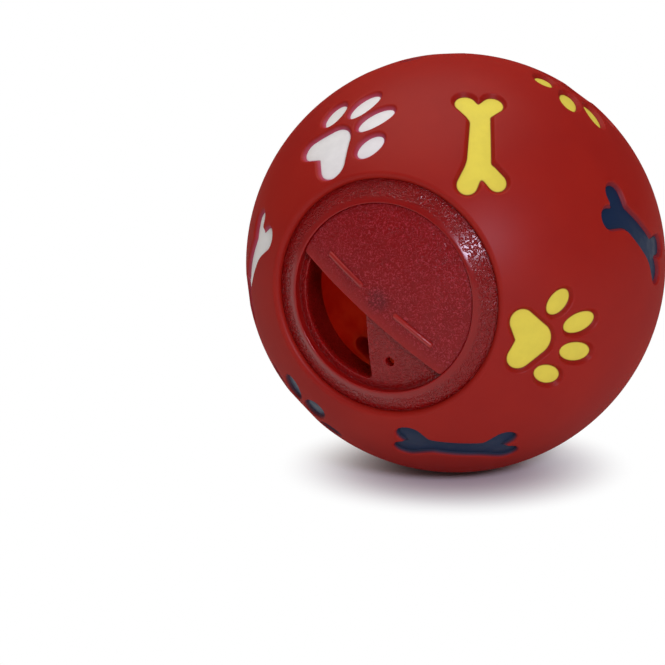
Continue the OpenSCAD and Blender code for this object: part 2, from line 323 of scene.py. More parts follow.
def trace(field, level, reach, spacing=OUTLINE_STEP, step=0.12):
    """Closed outlines where a field crosses a level, as evenly spaced points."""
    xs = np.arange(-reach[0], reach[0] + step, step)
    ys = np.arange(-reach[1], reach[1] + step, step)
    v = field(*np.meshgrid(xs, ys, indexing="ij")) - level
    v[v == 0.0] = TINY
    inside = (v < 0).astype(int)
    case = inside[:-1, :-1] + 2 * inside[1:, :-1] + 4 * inside[1:, 1:] + 8 * inside[:-1, 1:]
    follow = {}
    for i, j in np.argwhere((case > 0) & (case < 15)):
        sides = ((0, i, j), (1, i + 1, j), (0, i, j + 1), (1, i, j))
        for a, b in CELL_CUTS[case[i, j]]:
            follow[sides[a]] = sides[b]
    loops = []
    while follow:
        key, chain = next(iter(follow)), []
        while key in follow:
            chain.append(key)
            key = follow.pop(key)
        points = []
        for along_y, i, j in chain:
            a, b = v[i, j], v[i + 1 - along_y, j + along_y]
            t = a / (a - b)
            points.append((xs[i] + (0 if along_y else t * step), ys[j] + (t * step if along_y else 0)))
        loops.append(settle(field, level, respace(np.array(points), spacing)))
    return loops


def respace(points, spacing):
    """The same closed outline with evenly spaced points."""
    closed = np.vstack([points, points[:1]])
    run = np.concatenate([[0.0], np.cumsum(np.hypot(*np.diff(closed, axis=0).T))])
    count = max(LEAST_POINTS, int(round(run[-1] / spacing)))
    at = np.linspace(0.0, run[-1], count, endpoint=False)
    return np.stack([np.interp(at, run, closed[:, 0]), np.interp(at, run, closed[:, 1])], -1)


def settle(field, level, points, reach=1e-3, rounds=3, least=0.25):
    """Moves points down the field's slope onto a level."""
    for _ in range(rounds):
        x, y = points[:, 0], points[:, 1]
        gx = (field(x + reach, y) - field(x - reach, y)) / (2 * reach)
        gy = (field(x, y + reach) - field(x, y - reach)) / (2 * reach)
        pull = (field(x, y) - level) / np.maximum(gx * gx + gy * gy, least)
        points = points - np.stack([pull * gx, pull * gy], -1)
    return points


def hex_points(reach, spacing):
    """Points of a triangular grid over a square."""
    rows = []
    for k, y in enumerate(np.arange(-reach, reach, spacing * HEX_ROW)):
        x = np.arange(-reach, reach, spacing) + (k % 2) * spacing / 2
        rows.append(np.stack([x, np.full_like(x, y)], -1))
    return np.vstack(rows)


class Plan:
    """Points and outlines in a plane, to be filled with triangles."""

    def __init__(self):
        self.points, self.edges, self.count = [], [], 0

    def scatter(self, points):
        start = self.count
        self.points.append(np.asarray(points, float))
        self.count += len(points)
        return np.arange(start, self.count)

    def loop(self, points):
        index = self.scatter(points)
        self.edges += list(zip(index.tolist(), np.roll(index, -1).tolist()))
        return index

    def all_points(self):
        return np.vstack(self.points)

    def fill(self, rims=(), seeds=()):
        """Triangles that turn left, over the whole plan or as far as the rims round the seeds."""
        flat = self.all_points()
        result = delaunay_2d_cdt([Vector(p) for p in flat.tolist()], self.edges, [], 0, 1e-7)
        source = [o[0] if o else -1 for o in result[3]]
        faces = np.array([[source[v] for v in f] for f in result[2]])
        faces = faces[(faces >= 0).all(axis=1)]
        side = flat[faces]
        e, g = side[:, 1] - side[:, 0], side[:, 2] - side[:, 0]
        right = e[:, 0] * g[:, 1] - e[:, 1] * g[:, 0] < 0
        faces[right] = faces[right][:, ::-1]
        if not len(seeds):
            return faces
        fences = {frozenset(e) for rim in rims for e in zip(rim.tolist(), np.roll(rim, -1).tolist())}
        beside = {}
        for number, (a, b, c) in enumerate(faces.tolist()):
            for edge in (frozenset((a, b)), frozenset((b, c)), frozenset((c, a))):
                if edge not in fences:
                    beside.setdefault(edge, []).append(number)
        near = {}
        for a, b in (pair for pair in beside.values() if len(pair) == 2):
            near.setdefault(a, []).append(b)
            near.setdefault(b, []).append(a)
        keep = np.isin(faces, seeds).any(axis=1)
        reached = np.flatnonzero(keep).tolist()
        while reached:
            for number in near.get(reached.pop(), ()):
                if not keep[number]:
                    keep[number] = True
                    reached.append(number)
        return faces[keep]


def revolve(section, steps=RING_STEPS):
    """Points and quads of an open section of (radius, height) turned about the mouth's axis."""
    rings = [np.column_stack([ring_points(r, steps), np.full(steps, h)]) for r, h in section]
    faces = []
    for k in range(len(section) - 1):
        for i in range(steps):
            j = (i + 1) % steps
            faces.append((k * steps + i, (k + 1) * steps + i, (k + 1) * steps + j, k * steps + j))
    return np.concatenate(rings), faces


def arc(centre, radius, start, end, count):
    """Points of an arc in a section, angles in degrees from the radius direction."""
    a = np.radians(np.linspace(start, end, count))
    return [(centre[0] + radius * math.cos(t), centre[1] + radius * math.sin(t)) for t in a]


def ring_points(radius, steps=RING_STEPS):
    """Points of a circle about the mouth's axis, in step with revolve."""
    t = np.arange(steps) * 2 * math.pi / steps
    return np.stack([radius * np.cos(t), radius * np.sin(t)], -1)


def out_of_mouth(points):
    """From (across, up, along the mouth's axis) to the part's frame."""
    points = np.asarray(points, float)
    return np.stack([points[:, 0], -points[:, 2], points[:, 1]], -1)


def dome_h(radius, r):
    """Height of one of the closure's domes at a distance from the mouth's axis."""
    return DOME_C + np.sqrt(radius**2 - np.asarray(r, float) ** 2)


class Shell:
    """Gathers points and faces for one mesh."""

    def __init__(self):
        self.points, self.faces, self.slots, self.count = [], [], [], 0

    def add(self, points, faces, slot=0):
        start = self.count
        self.points.append(np.asarray(points, float))
        self.faces += [tuple(int(v) + start for v in f) for f in faces]
        self.slots += [slot] * len(faces)
        self.count += len(points)
        return start

    def wall(self, high, low):
        """Quads between two loops of points that are there already."""
        self.faces += [
            tuple(int(v) for v in f) for f in zip(np.roll(high, -1), np.roll(low, -1), low, high)
        ]
        self.slots += [0] * len(high)

    def build(self, name, materials, sharp):
        """The mesh object, in metres, with the points welded where two sheets meet."""
        points = np.vstack(self.points)
        places = np.round(points * WELDS_PER_MM).astype(int)
        _, first, welded = np.unique(places, axis=0, return_index=True, return_inverse=True)
        self.welded = welded.ravel()
        faces = [self.welded[list(f)].tolist() for f in self.faces]
        mesh = bpy.data.meshes.new(name)
        mesh.from_pydata((points[first] * MM).tolist(), [], faces)
        for m in materials:
            mesh.materials.append(m)
        mesh.polygons.foreach_set("material_index", self.slots)
        soften(mesh, sharp)
        return put(name, mesh)


def soften(mesh, sharp):
    """Smooth shading, but for edges sharper than an angle in degrees."""
    mesh.polygons.foreach_set("use_smooth", [True] * len(mesh.polygons))
    mesh.set_sharp_from_angle(angle=math.radians(sharp))
    mesh.update()


def put(name, data):
    """A new object in the scene."""
    obj = bpy.data.objects.new(name, data)
    bpy.context.scene.collection.objects.link(obj)
    return obj


# Materials
def feed(socket, value):
    """Fills a node's input from another node's output or with a plain value."""
    if isinstance(value, bpy.types.NodeSocket):
        socket.id_data.links.new(value, socket)
    else:
        socket.default_value = value


def set_values(node, **values):
    """Fills a node's inputs by their names, with _ for a space."""
    for label, value in values.items():
        feed(node.inputs[label.replace("_", " ")], value)
    return node


def made(nodes, kind, **values):
    """A new node with its inputs filled."""
    return set_values(nodes.new(kind), **values)


def new_material(name):
    """A node material, its nodes and its shader."""
    material = bpy.data.materials.new(name)
    material.use_nodes = True
    nodes = material.node_tree.nodes
    return material, nodes, nodes["Principled BSDF"]


def ramp(nodes, value, low, high, to_low=0.0, to_high=1.0):
    """A value carried smoothly from one range to another."""
    node = nodes.new("ShaderNodeMapRange")
    node.interpolation_type = "SMOOTHSTEP"
    set_values(node, Value=value, From_Min=low, From_Max=high, To_Min=to_low, To_Max=to_high)
    return node.outputs["Result"]


def mixed(nodes, factor, a, b):
    """Two colours mixed by a mask; each is a socket or a plain colour."""
    node = nodes.new("ShaderNodeMix")
    node.data_type = "RGBA"
    set_values(node, Factor=factor)
    feed(node.inputs[6], a)
    feed(node.inputs[7], b)
    return node.outputs[2]


def worked(nodes, operation, a, b=0.0):
    """Two values worked together; each is a socket or a number."""
    node = nodes.new("ShaderNodeMath")
    node.operation = operation
    feed(node.inputs[0], a)
    feed(node.inputs[1], b)
    return node.outputs["Value"]


def noise(nodes, place, **values):
    """Even noise over some places."""
    return made(nodes, "ShaderNodeTexNoise", Vector=place, **values).outputs["Fac"]


def part_place(nodes):
    """Places on the part, in metres."""
    return nodes.new("ShaderNodeTexCoord").outputs["Object"]


def length_of(nodes, vector):
    """A vector's length."""
    length = nodes.new("ShaderNodeVectorMath")
    length.operation = "LENGTH"
    feed(length.inputs[0], vector)
    return length.outputs["Value"]


def new_tree(name, kind, inputs, outputs):
    """An empty node tree with named sockets, and its ends."""
    tree = bpy.data.node_groups.new(name, kind)
    for side, sockets in (("INPUT", inputs), ("OUTPUT", outputs)):
        for label, socket in sockets.items():
            tree.interface.new_socket(label, in_out=side, socket_type="NodeSocket" + socket)
    return tree, tree.nodes.new("NodeGroupInput"), tree.nodes.new("NodeGroupOutput")


def cloudy_group():
    """Two close colours clouded into each other, as in coloured plastic."""
    tree, given, result = new_tree(
        "Cloudy Colour", "ShaderNodeTree",
        {"Colour": "Color", "Deep Colour": "Color", "Scale": "Float"},
        {"Colour": "Color", "Cloud": "Float"})
    n = tree.nodes
    drift = noise(n, part_place(n), Scale=given.outputs["Scale"], Detail=4.0, Roughness=0.6)
    cloud = ramp(n, drift, *CLOUD_FADE)
    shade = mixed(n, cloud, given.outputs["Deep Colour"], given.outputs["Colour"])
    set_values(result, Colour=shade, Cloud=cloud)
    return tree


def grain_group():
    """Fine moulded grain of short worm-like ridges, where its mask is 1: its height and its crests."""
    tree, given, result = new_tree(
        "Moulded Grain", "ShaderNodeTree", {"Scale": "Float", "Width": "Float", "Mask": "Float"},
        {"Height": "Float", "Crest": "Float"})
    n, scale, mask = tree.nodes, given.outputs["Scale"], given.outputs["Mask"]
    place = part_place(n)
    waves = noise(n, place, Scale=scale, Detail=0.0, Distortion=0.4)
    folded = worked(n, "ABSOLUTE", worked(n, "SUBTRACT", waves, 0.5))
    shift = made(n, "ShaderNodeMapping", Vector=place, Location=(0.31, 0.17, 0.23))
    breaks = noise(n, shift.outputs["Vector"], Scale=scale, Detail=0.0)
    worm = ramp(n, folded, 0.0, WORM_WIDTH, 1.0, 0.0)
    worm = worked(n, "MULTIPLY", worm, ramp(n, breaks, *WORM_BREAK))
    soft = ramp(n, folded, 0.0, given.outputs["Width"], 1.0, 0.0)
    set_values(result, Height=worked(n, "MULTIPLY", soft, mask),
               Crest=worked(n, "MULTIPLY", worm, mask))
    return tree


CLOUDY = cloudy_group()
GRAIN = grain_group()


def place_group(nodes, tree, **values):
    """A group node with its inputs filled."""
    node = nodes.new("ShaderNodeGroup")
    node.node_tree = tree
    return set_values(node, **values)


def uneven(nodes, cloud, least, most):
    """A roughness that follows a clouded colour."""
    return ramp(nodes, cloud.outputs["Cloud"], 0.0, 1.0, least, most)


def vinyl_material(name, colour, deep, wall_paint_and_shade, glow_depth):
    """Satin soft vinyl, with the colour laid on the walls of the figures: paint that strayed up them,
    and painted shade at their foot.
    """
    material, nodes, shader = new_material(name)
    cloud = place_group(nodes, CLOUDY, Colour=colour, Deep_Colour=deep, Scale=55.0)
    skin = cloud.outputs["Colour"]
    if wall_paint_and_shade:
        # The walls' colour: stray paint, and painted shade at the foot of the yellow figures' walls
        wall_layer = nodes.new("ShaderNodeVertexColor")
        wall_layer.layer_name = "wall_paint_and_shade"
        skin = mixed(nodes, wall_layer.outputs["Alpha"], skin, wall_layer.outputs["Color"])
    fine = noise(nodes, part_place(nodes), Scale=900.0, Detail=3.0)
    bump = made(nodes, "ShaderNodeBump", Strength=0.06, Distance=0.0002, Height=fine)
    set_values(shader, Base_Color=skin, Roughness=uneven(nodes, cloud, 0.55, 0.62),
               Normal=bump.outputs["Normal"], Specular_IOR_Level=0.0,
               Coat_Weight=0.12, Coat_IOR=2.1, Coat_Roughness=0.45,
               Subsurface_Weight=0.3 if wall_paint_and_shade else 1.0, Subsurface_Scale=glow_depth,
               Subsurface_Radius=(1.0, 0.12, 0.06) if wall_paint_and_shade else (1.0, 0.5, 0.42))
    return material


def closure_material(name, colour, deep, crest_highlight, scale, width, layout, gloss, grain_depth):
    """Moulded plastic with fine grain, its crests lighter in a painted highlight. The layout gives the
    grain's mask and paints over the colour.
    """
    material, nodes, shader = new_material(name)
    cloud = place_group(nodes, CLOUDY, Colour=colour, Deep_Colour=deep, Scale=150.0)
    mask, skin = layout(nodes, cloud.outputs["Colour"])
    grain = place_group(nodes, GRAIN, Scale=scale, Width=width, Mask=mask)
    bump = made(nodes, "ShaderNodeBump", Strength=1.0, Distance=grain_depth,
                Height=grain.outputs["Height"])
    # The grain's crests take the lighter crest colour: a painted highlight
    set_values(shader, Base_Color=mixed(nodes, grain.outputs["Crest"], skin, crest_highlight),
               Roughness=uneven(nodes, cloud, 0.18, 0.25), Normal=bump.outputs["Normal"],
               Specular_IOR_Level=gloss, Subsurface_Weight=0.5, Subsurface_Scale=0.004,
               Subsurface_Radius=(1.0, 0.2, 0.18))
    return material


def axis_distance(nodes):
    """Distance from the mouth's axis."""
    flat = nodes.new("ShaderNodeVectorMath")
    flat.operation = "MULTIPLY"
    feed(flat.inputs[0], part_place(nodes))
    feed(flat.inputs[1], (1.0, 0.0, 1.0))
    return length_of(nodes, flat.outputs["Vector"])


def collar_layout(nodes, skin):
    """Grain on the flange and on the floor, none on the band between."""
    far = axis_distance(nodes)
    flange, floor = ramp(nodes, far, *FLANGE_GRAIN), ramp(nodes, far, *FLOOR_GRAIN, 1.0, 0.0)
    grained = worked(nodes, "MAXIMUM", flange, floor)
    return grained, mixed(nodes, grained, COLLAR_BAND, skin)


def dial_layout(nodes, skin):
    """Grain but for the brighter strip along the straight edge, and a darker round patch over the
    pivot.
    """
    turn = made(nodes, "ShaderNodeMapping", Vector=part_place(nodes),
                Rotation=(0.0, math.radians(DIAL_CLOCK), 0.0))
    split = made(nodes, "ShaderNodeSeparateXYZ", Vector=turn.outputs["Vector"])
    strip = ramp(nodes, split.outputs["X"], *STRIP_FADE, STRIP_SHARE, 0.0)
    skin = mixed(nodes, strip, skin, DIAL_STRIP)
    # A darker round patch over the pivot
    pivot_dark = ramp(nodes, axis_distance(nodes), *PIVOT_DARK_FADE, PIVOT_DARK_SHARE, 0.0)
    skin = mixed(nodes, pivot_dark, skin, DIAL_PIVOT_DARK)
    return worked(nodes, "SUBTRACT", 1.0, strip), skin


def rib_material():
    """The smooth plastic of the dial's ribs, coloured brighter than the dial as a painted glow of light
    through them.
    """
    material, nodes, shader = new_material("rib_plastic")
    cloud = place_group(nodes, CLOUDY, Colour=RIB_GLOW_RED, Deep_Colour=RIB_GLOW_DEEP, Scale=300.0)
    set_values(shader, Base_Color=cloud.outputs["Colour"], Roughness=uneven(nodes, cloud, 0.16, 0.22),
               Specular_IOR_Level=0.35)
    return material


def paint_material(name, colour, rim):
    """Sprayed paint: satin, a little uneven, and darker and warmer at its rim, painted shade where it
    meets the foot of the wall.
    """
    material, nodes, shader = new_material(name)
    shade = tuple(PAINT_SHADE * v for v in colour[:3]) + (1.0,)
    cloud = place_group(nodes, CLOUDY, Colour=colour, Deep_Colour=shade, Scale=330.0)
    edge = nodes.new("ShaderNodeAttribute")
    edge.attribute_name = "from_edge"
    # The rim colour is painted shade along the paint's edge, at the foot of the wall
    near = ramp(nodes, edge.outputs["Fac"], *CREASE_SHADE_FADE, 0.0, CREASE_SHADE_SHARE)
    set_values(shader, Base_Color=mixed(nodes, near, cloud.outputs["Colour"], rim),
               Roughness=uneven(nodes, cloud, 0.42, 0.55), Specular_IOR_Level=0.12)
    return material


vinyl_skin = vinyl_material("vinyl_skin", VINYL_RED, VINYL_DEEP, True, 0.0015)
# Inside of the ball: painted glow in its lighter colour, and subsurface light through the wall
vinyl_inside_glow = vinyl_material("vinyl_inside_glow", VINYL_INSIDE_GLOW, VINYL_RED, False, 0.018)
# Each closure plastic's third colour is the lighter painted highlight on its grain's crests
collar_plastic = closure_material(
    "collar_plastic", srgb(134, 9, 8), srgb(125, 7, 7), srgb(146, 16, 20),
    scale=1900.0, width=0.17, layout=collar_layout, gloss=0.3, grain_depth=0.00008)
dial_plastic = closure_material(
    "dial_plastic", srgb(134, 13, 16), srgb(127, 10, 13), srgb(168, 50, 60),
    scale=2400.0, width=0.3, layout=dial_layout, gloss=0.2, grain_depth=0.00005)
rib_plastic = rib_material()
paints = {c: paint_material("paint_" + c, *PAINT[c]) for c in PAINT}


# Figures on the ball
FIELDS = {"bone": bone_field, "paw": paw_field("paw"), "wide_paw": paw_field("wide_paw")}
# Half sizes of the field in which a figure's outline is traced
REACH = {"bone": (12.5, 7.0), "paw": (12.5, 11.5), "wide_paw": (12.5, 11.5)}
FLOOR_R = BALL_R - RECESS


def paint_of(name):
    """The paint in a figure's name, as in paw_white_front."""
    return name.split("_")[1]


def figure_axes(polar, clock, turn):
    """Along, across and outward directions of a figure, in the part's frame."""
    p, c, t = (math.radians(v) for v in (polar, clock, turn))
    out = np.array([math.sin(p) * math.cos(c), math.sin(p) * math.sin(c), math.cos(p)])
    away = np.array([math.cos(p) * math.cos(c), math.cos(p) * math.sin(c), -math.sin(p)])
    about = np.array([-math.sin(c), math.cos(c), 0.0])
    along = away * math.cos(t) + about * math.sin(t)
    across = about * math.cos(t) - away * math.sin(t)
    return [out_of_mouth(v[None])[0] for v in (along, across, out)]


def on_floor(points):
    """Points of a figure's own plane as directions, by standing them on the recess floor."""
    z = np.sqrt(FLOOR_R**2 - (points**2).sum(1))
    return np.column_stack([points, z]) / FLOOR_R


def flat_map(d):
    """Projection of directions from the mouth's pole onto a plane."""
    return np.stack([d[:, 0], d[:, 2]], -1) / (1.0 + d[:, 1:2])


# Colour on the figures' walls: the blue paint that strayed up them, painted shade with a yellow cast at
# the foot of the yellow figures' walls, and a pink tint on the white figures' walls. Each has its
# colour, amount, and where it starts and ends to fade
WALL_PAINT_AND_SHADE = {
    "white": ((0.5, 0.1, 0.19), 0.7, 0.05, 0.5),
    "yellow": ((0.12, 0.03, 0.008), 0.5, 0.02, 0.2),
    "blue": ((0.010, 0.016, 0.042), 1.0, 0.3, 0.55),
}
PAINT_NAMES = list(PAINT)
# Figures whose walls took less of it than the others
STRAY_SHARE = {"bone_blue_side": 0.4, "paw_blue_front": 0.85, "paw_blue_side": 0.6}
# Room kept free of the skin's own points: round the mouth in radians, round a figure in millimetres
MOUTH_ROOM = 0.02
FIGURE_ROOM = 0.5
# Cosine of the angle within which a figure can be near
FIGURE_CAP = 0.85


def ball_piece():
    """The ball's skin with its sunk figures, the rolled lip, the seat and the inside."""
    plan, skin = Plan(), []

    def note(directions, depth=0.0, gap=FAR_GAP, paint=0, share=0.0):
        same = np.tile((depth, gap, paint, share), (len(directions), 1))
        skin.append(np.column_stack([directions, same]))

    loops = {kind: [trace(field, gap, REACH[kind]) for gap, _ in LIP_SECTION]
             for kind, field in FIELDS.items()}
    k = np.arange(SKIN_POINTS) + 0.5
    tilt, spin = np.arccos(1 - 2 * k / SKIN_POINTS), math.pi * (1 + math.sqrt(5)) * k
    spread = np.stack([np.sin(tilt) * np.cos(spin), np.sin(tilt) * np.sin(spin), np.cos(tilt)], -1)
    spread = out_of_mouth(spread)
    ring_tilt = math.asin(MOUTH_RING_R / BALL_R)
    free = -spread[:, 1] < math.cos(ring_tilt + MOUTH_ROOM)
    for name, (kind, *place) in FIGURES.items():
        along, across, out = figure_axes(*place)
        paint, share = PAINT_NAMES.index(paint_of(name)), STRAY_SHARE.get(name, 1.0)
        for (gap, depth), outlines in zip(LIP_SECTION, loops[kind]):
            for points in outlines:
                local = on_floor(points)
                directions = local[:, :1] * along + local[:, 1:2] * across + local[:, 2:] * out
                plan.loop(flat_map(directions))
                note(directions, depth, gap, paint, share)
        x, y = (spread @ along) * FLOOR_R, (spread @ across) * FLOOR_R
        free &= ~((spread @ out > FIGURE_CAP) & (FIELDS[kind](x, y) < LIP_SECTION[0][0] + FIGURE_ROOM))
    plan.scatter(flat_map(spread[free]))
    note(spread[free])
    ring_h = np.full(RING_STEPS, math.cos(ring_tilt))
    ring = out_of_mouth(np.column_stack([ring_points(1.0) * math.sin(ring_tilt), ring_h]))
    plan.loop(flat_map(ring))
    note(ring)

    faces = plan.fill()
    skin = np.vstack(skin)
    depth, gap, paint, share = skin[:, 3:].T
    points = skin[:, :3] * (BALL_R - depth)[:, None]
    a, b, c = (points[faces[:, k]] for k in range(3))
    inward = np.einsum("ij,ij->i", np.cross(b - a, c - a), a) < 0
    faces[inward] = faces[inward][:, ::-1]
    ball = Shell()
    ball.add(points, faces)

    roll_r = REBATE_R + LIP_ROLL
    roll = (roll_r, math.sqrt((BALL_R - LIP_ROLL) ** 2 - roll_r**2))
    roll_start = math.degrees(math.atan2(roll[1], roll[0]))
    lip = arc((0.0, 0.0), BALL_R, 90 - math.degrees(ring_tilt), roll_start, count=3)
    lip += arc(roll, LIP_ROLL, roll_start, 180.0, count=14)[1:]
    lip += [(REBATE_R, SEAT_H + SEAT_CHAMFER), (REBATE_R - SEAT_CHAMFER, SEAT_H)]
    lip += [(GRIP_R + GRIP_CHAMFER, SEAT_H), (GRIP_R, SEAT_H - GRIP_CHAMFER)]
    lip += [(GRIP_R, GRIP_LOW + GRIP_CHAMFER), (GRIP_R + GRIP_CHAMFER, GRIP_LOW)]
    inner_r = BALL_R - WALL
    inner_start = math.degrees(math.asin(GRIP_LOW / inner_r))
    lip_points, lip_faces = revolve(lip)
    ball.add(out_of_mouth(lip_points), [f[::-1] for f in lip_faces])
    before_pole = -89.0
    bowl = [lip[-1]] + arc((0.0, 0.0), inner_r, inner_start, before_pole, count=70)
    bowl_points, bowl_faces = revolve(bowl)
    pole = len(bowl_points)
    last = pole - RING_STEPS
    bowl_points = np.vstack([bowl_points, [(0, 0, -inner_r)]])
    bowl_faces += [(last + i, pole, last + (i + 1) % RING_STEPS) for i in range(RING_STEPS)]
    ball.add(out_of_mouth(bowl_points), [f[::-1] for f in bowl_faces], 1)
    piece = ball.build("ball_skin", [vinyl_skin, vinyl_inside_glow], sharp=60)

    tint = np.zeros((ball.count, 4))
    for number, (colour, most, low, high) in enumerate(WALL_PAINT_AND_SHADE[p] for p in PAINT_NAMES):
        amount = share * most * (1 - np.clip((gap - low) / (high - low), 0, 1))
        here = np.flatnonzero((paint == number) & (gap < FAR_GAP))
        tint[here, :3] = colour
        tint[here, 3] = amount[here]
    welded_tint = np.zeros((len(piece.data.vertices), 4))
    welded_tint[ball.welded] = tint
    layer = piece.data.attributes.new("wall_paint_and_shade", "FLOAT_COLOR", "POINT")
    layer.data.foreach_set("color", welded_tint.ravel())
    return piece


def stamp_mesh(kind):
    """One coat of paint with its figure's outward direction along +Z."""
    plan, rows, rims = Plan(), [], []
    for level, rise in COAT_SECTION:
        for points in trace(FIELDS[kind], level, REACH[kind]):
            index = plan.loop(points)
            rows.append(np.tile((level, rise), (len(points), 1)))
            if level == COAT_SECTION[0][0]:
                rims.append(index)
    margin, grid = 0.45, hex_points(reach=14.0, spacing=0.8)
    grid_gap = FIELDS[kind](*grid.T)
    inner = grid_gap < -margin
    seeds = plan.scatter(grid[inner])
    rows.append(np.column_stack([grid_gap[inner], np.full(inner.sum(), COAT_SECTION[-1][1])]))
    gap, height = np.vstack(rows).T
    flat, faces = plan.all_points(), plan.fill(rims, seeds)
    direction, n = on_floor(flat), len(flat)
    top, under = direction * (FLOOR_R + height)[:, None], direction * (FLOOR_R - COAT_UNDER)
    sides = [(i, i + n, j + n, j) for rim in rims
             for i, j in zip(rim.tolist(), np.roll(rim, -1).tolist())]
    mesh = bpy.data.meshes.new("stamp_" + kind)
    all_faces = faces.tolist() + (faces[:, ::-1] + n).tolist() + sides
    mesh.from_pydata((np.vstack([top, under]) * MM).tolist(), [], all_faces)
    edge = mesh.attributes.new("from_edge", "FLOAT", "POINT")
    edge.data.foreach_set("value", np.concatenate([gap, gap]))
    soften(mesh, sharp=60)
    return mesh


# Geometry Nodes
GEOMETRY = {"Geometry": "Geometry"}


def turned(nodes, flow, axis, angle):
    """Geometry turned about one axis by a socket or a plain angle."""
    turn = made(nodes, "GeometryNodeTransform", Geometry=flow)
    if isinstance(angle, float):
        turn.inputs["Rotation"].default_value["XYZ".index(axis)] = angle
    else:
        spread = made(nodes, "ShaderNodeCombineXYZ", **{axis: angle})
        set_values(turn, Rotation=spread.outputs["Vector"])
    return turn.outputs["Geometry"]


def dressed(nodes, given, result, flow):
    """Ends a tree: geometry turned out of the mouth, made real and in its material."""
    real = made(nodes, "GeometryNodeRealizeInstances", Geometry=turned(nodes, flow, "X", math.pi / 2))
    dress = made(nodes, "GeometryNodeSetMaterial", Geometry=real.outputs["Geometry"],
                 Material=given.outputs["Material"])
    set_values(result, Geometry=dress.outputs["Geometry"])


def stamp_tree():
    """Turns a stamp to its place on the ball and gives it its paint."""
    tree, given, result = new_tree(
        "Set Figure On Ball", "GeometryNodeTree",
        {**GEOMETRY, "Turn": "Float", "Polar": "Float", "Clock": "Float", "Material": "Material"},
        GEOMETRY)
    flow = given.outputs["Geometry"]
    for label, axis in (("Turn", "Z"), ("Polar", "Y"), ("Clock", "Z")):
        flow = turned(tree.nodes, flow, axis, given.outputs[label])
    dressed(tree.nodes, given, result, flow)
    return tree


def rib_tree():
    """Two round ribs in line across the dial, bent along its dome."""
    tree, given, result = new_tree(
        "Dial Ribs", "GeometryNodeTree",
        {**GEOMETRY, "From": "Float", "To": "Float", "Radius": "Float", "Dome": "Float",
         "Dome Centre": "Float", "Clock": "Float", "Material": "Material"}, GEOMETRY)
    n, dome = tree.nodes, given.outputs["Dome"]
    start, end = (made(n, "ShaderNodeCombineXYZ", Y=given.outputs[label]).outputs["Vector"]
                  for label in ("From", "To"))
    line = made(n, "GeometryNodeCurvePrimitiveLine", Start=start, End=end)
    fine = made(n, "GeometryNodeResampleCurve", Curve=line.outputs["Curve"], Count=60)
    place = n.new("GeometryNodeInputPosition").outputs["Position"]
    y = made(n, "ShaderNodeSeparateXYZ", Vector=place).outputs["Y"]
    rest = worked(n, "SUBTRACT", worked(n, "MULTIPLY", dome, dome), worked(n, "MULTIPLY", y, y))
    height = worked(n, "ADD", worked(n, "POWER", rest, 0.5), given.outputs["Dome Centre"])
    lift = made(n, "ShaderNodeCombineXYZ", Z=height).outputs["Vector"]
    bend = made(n, "GeometryNodeSetPosition", Geometry=fine.outputs["Curve"], Offset=lift)
    along = n.new("GeometryNodeSplineParameter").outputs["Factor"]
    from_middle = worked(n, "ABSOLUTE", worked(n, "SUBTRACT", along, 0.5))
    past = worked(n, "MAXIMUM", worked(n, "SUBTRACT", from_middle, RIB_STRAIGHT), 0.0)
    share = worked(n, "DIVIDE", past, RIB_END)
    square = worked(n, "MULTIPLY", share, share)
    slim = worked(n, "POWER", worked(n, "SUBTRACT", 1.0, square), 0.5)
    ring = made(n, "GeometryNodeCurvePrimitiveCircle", Resolution=24, Radius=given.outputs["Radius"])
    sweep = made(n, "GeometryNodeCurveToMesh", Curve=bend.outputs["Geometry"], Scale=slim,
                 Profile_Curve=ring.outputs["Curve"], Fill_Caps=True)
    rib = sweep.outputs["Mesh"]
    pair = made(n, "GeometryNodeJoinGeometry", Geometry=rib)
    set_values(pair, Geometry=turned(n, rib, "Z", math.pi))
    smooth = made(n, "GeometryNodeSetShadeSmooth", Geometry=pair.outputs["Geometry"])
    dressed(n, given, result, turned(n, smooth.outputs["Geometry"], "Z", given.outputs["Clock"]))
    return tree


def grown(name, mesh, tree, **values):
    """A plain mesh object made by a geometry tree from a starting mesh."""
    obj = put(name, mesh)
    maker = obj.modifiers.new("maker", "NODES")
    maker.node_group = tree
    sockets = {s.name: s.identifier for s in tree.interface.items_tree if s.in_out == "INPUT"}
    for label, value in values.items():
        maker[sockets[label.replace("_", " ")]] = value
    graph = bpy.context.evaluated_depsgraph_get()
    plain = bpy.data.meshes.new_from_object(obj.evaluated_get(graph))
    obj.modifiers.clear()
    obj.data = plain
    return obj


# Pieces of the closure
def edge_drop(gap):
    """How far a rounded edge falls at a distance inside it."""
    inner = np.clip(EDGE_R - gap, 0.0, EDGE_R)
    return EDGE_R - np.sqrt(EDGE_R**2 - inner**2)


def floor_sheet(ring_r, levels, dome, sign):
    """One side of the closure's floor: points, faces and the loops at the holes' edges."""
    plan = Plan()
    plan.loop(ring_points(ring_r))
    gaps, rims, reach = [np.full(RING_STEPS, FAR_GAP)], [], 16.0
    for level in levels:
        for points in trace(holes_field, level, (reach, reach), HOLE_STEP):
            index = plan.loop(points)
            gaps.append(np.full(len(points), level))
            if level == 0.0:
                rims.append(index)
    ring_room, hole_room, grid = 0.5, 0.4, hex_points(reach, spacing=0.9)
    keep = (np.hypot(*grid.T) < ring_r - ring_room) & (holes_field(*grid.T) > levels[-1] + hole_room)
    seeds = plan.scatter(grid[keep])
    gaps.append(np.full(keep.sum(), FAR_GAP))
    flat, faces = plan.all_points(), plan.fill(rims, seeds)
    h = dome_h(dome, np.hypot(*flat.T)) - sign * edge_drop(np.concatenate(gaps))
    return np.column_stack([flat, h]), faces if sign > 0 else faces[:, ::-1], rims


